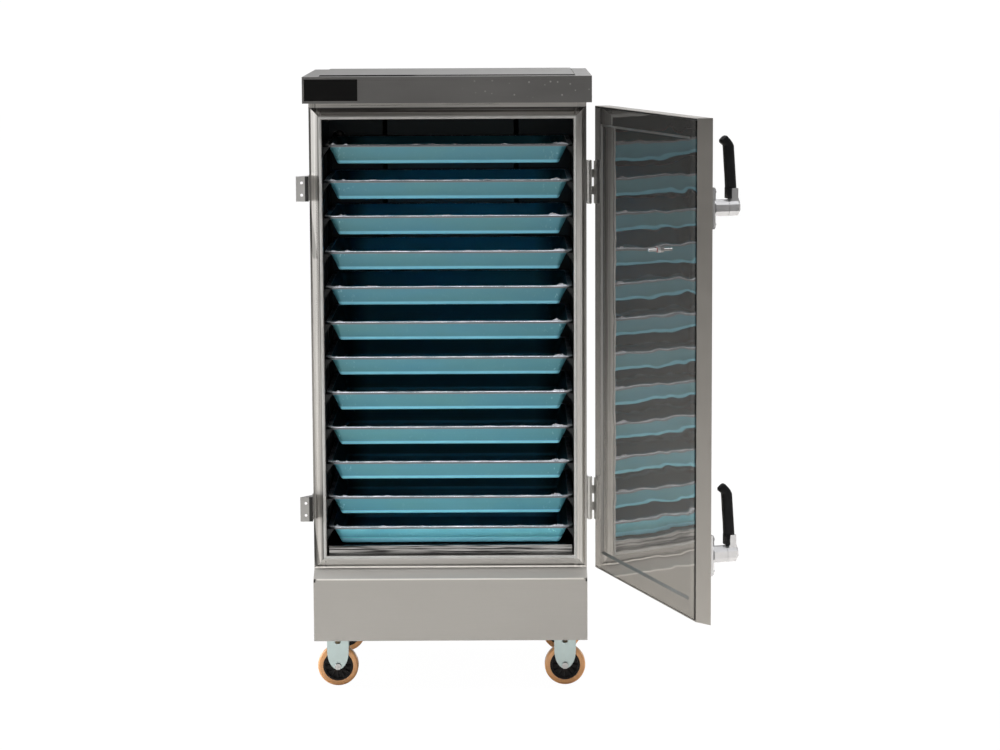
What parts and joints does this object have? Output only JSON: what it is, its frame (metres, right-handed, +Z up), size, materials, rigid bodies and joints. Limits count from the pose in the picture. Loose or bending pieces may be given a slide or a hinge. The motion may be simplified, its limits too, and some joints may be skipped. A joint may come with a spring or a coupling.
{
  "type": "rice steamer cabinet",
  "caption": "Upright insulated steaming cabinet with stacked sliding trays behind a side-hinged latched door, a water tank and heater in its base, on fixed casters.",
  "frame": {"origin": "on the floor, midway between the cabinet's sides and midway between the door frame's plane and the back wall", "axes": "+X to the viewer's right, +Y to the back, +Z up; the front faces -Y"},
  "size_m": [1.0196, 1.2066, 1.503],
  "materials": {
    "casing_sheet": "brushed stainless sheet",
    "liner_sheet": "stainless sheet, dulled by steam",
    "foam": "rigid foam",
    "frame_sheet": "folded stainless sheet",
    "gasket": "pale silicone strip",
    "cover_sheet": "dark brushed stainless",
    "name_plate": "bare black plate",
    "skirt_sheet": "brushed stainless sheet",
    "angle_iron": "painted angle",
    "tank_sheet": "stainless sheet",
    "element_tube": "oxidised tube",
    "deck_sheet": "stainless sheet",
    "rack_sheet": "folded stainless sheet",
    "keeper_plate": "stainless plate",
    "hinge_metal": "stainless hinge",
    "bolt_steel": "zinc-plated steel",
    "feed_sheet": "stainless sheet",
    "valve_brass": "cast brass",
    "float_copper": "copper ball on a brass rod",
    "lever_red": "dipped lever",
    "vent_tube": "stainless tube",
    "wiring_sheet": "stainless cover",
    "door_sheet": "brushed stainless pan over foam",
    "door_panel": "bright stainless panel",
    "latch_chrome": "plated casting",
    "grip_plastic": "black moulded grip",
    "gauge_metal": "plated dial and probe",
    "tray_metal": "drawn tray with a bright rim",
    "fork_steel": "zinc-plated pressing",
    "core_plastic": "black moulded core",
    "tread_urethane": "orange polyurethane"
  },
  "bodies": {
    "cabinet": {"outer_casing": "casing_sheet", "chamber_liner": "liner_sheet", "cabinet_insulation": "foam", "door_frame": "frame_sheet", "door_gasket": "gasket", "top_cover": "cover_sheet", "name_plate": "name_plate", "base_skirt": "skirt_sheet", "base_frame": "angle_iron", "water_tank": "tank_sheet", "heating_elements": "element_tube", "tank_cover": "deck_sheet", "steam_riser": "liner_sheet", "left_tray_rack": "rack_sheet", "right_tray_rack": "rack_sheet", "latch_keepers": "keeper_plate", "hinge_cabinet_leaves": "hinge_metal", "caster_bolts": "bolt_steel", "feed_box": "feed_sheet", "float_valve": "valve_brass", "drain_valve": "valve_brass", "steam_vent": "vent_tube", "wiring_box": "wiring_sheet", "caster_fork_front_left": "fork_steel", "caster_fork_front_right": "fork_steel", "caster_fork_rear_left": "fork_steel", "caster_fork_rear_right": "fork_steel"},
    "door": {"door_pan": "door_sheet", "door_insulation": "foam", "door_inner_panel": "door_panel", "hinge_door_leaves": "hinge_metal", "latch_bases": "latch_chrome", "thermometer": "gauge_metal"},
    "upper_latch": {"latch_lever_upper": "latch_chrome", "latch_grip_upper": "grip_plastic"},
    "lower_latch": {"latch_lever_lower": "latch_chrome", "latch_grip_lower": "grip_plastic"},
    "feed_lid": {"feed_box_lid": "feed_sheet"},
    "float": {"float_arm": "float_copper"},
    "drain_handle": {"drain_lever": "lever_red"},
    "tray_1_pan": {"tray_1": "tray_metal"},
    "tray_2_pan": {"tray_2": "tray_metal"},
    "tray_3_pan": {"tray_3": "tray_metal"},
    "tray_4_pan": {"tray_4": "tray_metal"},
    "tray_5_pan": {"tray_5": "tray_metal"},
    "tray_6_pan": {"tray_6": "tray_metal"},
    "tray_7_pan": {"tray_7": "tray_metal"},
    "tray_8_pan": {"tray_8": "tray_metal"},
    "tray_9_pan": {"tray_9": "tray_metal"},
    "tray_10_pan": {"tray_10": "tray_metal"},
    "tray_11_pan": {"tray_11": "tray_metal"},
    "tray_12_pan": {"tray_12": "tray_metal"},
    "wheel_front_left": {"wheel_core_front_left": "core_plastic", "wheel_tread_front_left": "tread_urethane"},
    "wheel_front_right": {"wheel_core_front_right": "core_plastic", "wheel_tread_front_right": "tread_urethane"},
    "wheel_rear_left": {"wheel_core_rear_left": "core_plastic", "wheel_tread_rear_left": "tread_urethane"},
    "wheel_rear_right": {"wheel_core_rear_right": "core_plastic", "wheel_tread_rear_right": "tread_urethane"}
  },
  "joints": [
    {"name": "door_swing", "type": "hinge", "parent": "cabinet", "child": "door", "pos_m": [0.34, -0.24, 0.8595], "axis": [0, 0, 1], "range_deg": [-108, 72]},
    {"name": "upper_latch_turn", "type": "hinge", "parent": "door", "child": "upper_latch", "pos_m": [0.58559, -0.8405, 1.228], "axis": [0.9511, 0.309, 0], "range_deg": [-90, 0]},
    {"name": "lower_latch_turn", "type": "hinge", "parent": "door", "child": "lower_latch", "pos_m": [0.58559, -0.8405, 0.45], "axis": [0.9511, 0.309, 0], "range_deg": [-90, 0]},
    {"name": "tray_12_slide", "type": "slide", "parent": "cabinet", "child": "tray_12_pan", "axis": [0, -1, 0], "range_m": [0, 0.36]},
    {"name": "tray_11_slide", "type": "slide", "parent": "cabinet", "child": "tray_11_pan", "axis": [0, -1, 0], "range_m": [0, 0.36]},
    {"name": "tray_10_slide", "type": "slide", "parent": "cabinet", "child": "tray_10_pan", "axis": [0, -1, 0], "range_m": [0, 0.36]},
    {"name": "tray_9_slide", "type": "slide", "parent": "cabinet", "child": "tray_9_pan", "axis": [0, -1, 0], "range_m": [0, 0.36]},
    {"name": "tray_8_slide", "type": "slide", "parent": "cabinet", "child": "tray_8_pan", "axis": [0, -1, 0], "range_m": [0, 0.36]},
    {"name": "tray_7_slide", "type": "slide", "parent": "cabinet", "child": "tray_7_pan", "axis": [0, -1, 0], "range_m": [0, 0.36]},
    {"name": "tray_6_slide", "type": "slide", "parent": "cabinet", "child": "tray_6_pan", "axis": [0, -1, 0], "range_m": [0, 0.36]},
    {"name": "tray_5_slide", "type": "slide", "parent": "cabinet", "child": "tray_5_pan", "axis": [0, -1, 0], "range_m": [0, 0.36]},
    {"name": "tray_4_slide", "type": "slide", "parent": "cabinet", "child": "tray_4_pan", "axis": [0, -1, 0], "range_m": [0, 0.36]},
    {"name": "tray_3_slide", "type": "slide", "parent": "cabinet", "child": "tray_3_pan", "axis": [0, -1, 0], "range_m": [0, 0.36]},
    {"name": "tray_2_slide", "type": "slide", "parent": "cabinet", "child": "tray_2_pan", "axis": [0, -1, 0], "range_m": [0, 0.36]},
    {"name": "tray_1_slide", "type": "slide", "parent": "cabinet", "child": "tray_1_pan", "axis": [0, -1, 0], "range_m": [0, 0.36]},
    {"name": "front_left_wheel_spin", "type": "hinge", "parent": "cabinet", "child": "wheel_front_left", "pos_m": [-0.28, -0.19, 0.05], "axis": [0, 1, 0], "continuous": true},
    {"name": "front_right_wheel_spin", "type": "hinge", "parent": "cabinet", "child": "wheel_front_right", "pos_m": [0.28, -0.19, 0.05], "axis": [0, 1, 0], "continuous": true},
    {"name": "rear_left_wheel_spin", "type": "hinge", "parent": "cabinet", "child": "wheel_rear_left", "pos_m": [-0.28, 0.19, 0.05], "axis": [0, 1, 0], "continuous": true},
    {"name": "rear_right_wheel_spin", "type": "hinge", "parent": "cabinet", "child": "wheel_rear_right", "pos_m": [0.28, 0.19, 0.05], "axis": [0, 1, 0], "continuous": true},
    {"name": "feed_lid_open", "type": "hinge", "parent": "cabinet", "child": "feed_lid", "pos_m": [0.225, 0.2455, 0.3546], "axis": [1, 0, 0], "range_deg": [0, 92]},
    {"name": "float_swing", "type": "hinge", "parent": "cabinet", "child": "float", "pos_m": [0.18, 0.285, 0.3], "axis": [0, 1, 0], "range_deg": [-12, 20]},
    {"name": "drain_turn", "type": "hinge", "parent": "cabinet", "child": "drain_handle", "pos_m": [-0.225, 0.263, 0.2106], "axis": [0, 0, 1], "range_deg": [0, 90]}
  ]
}
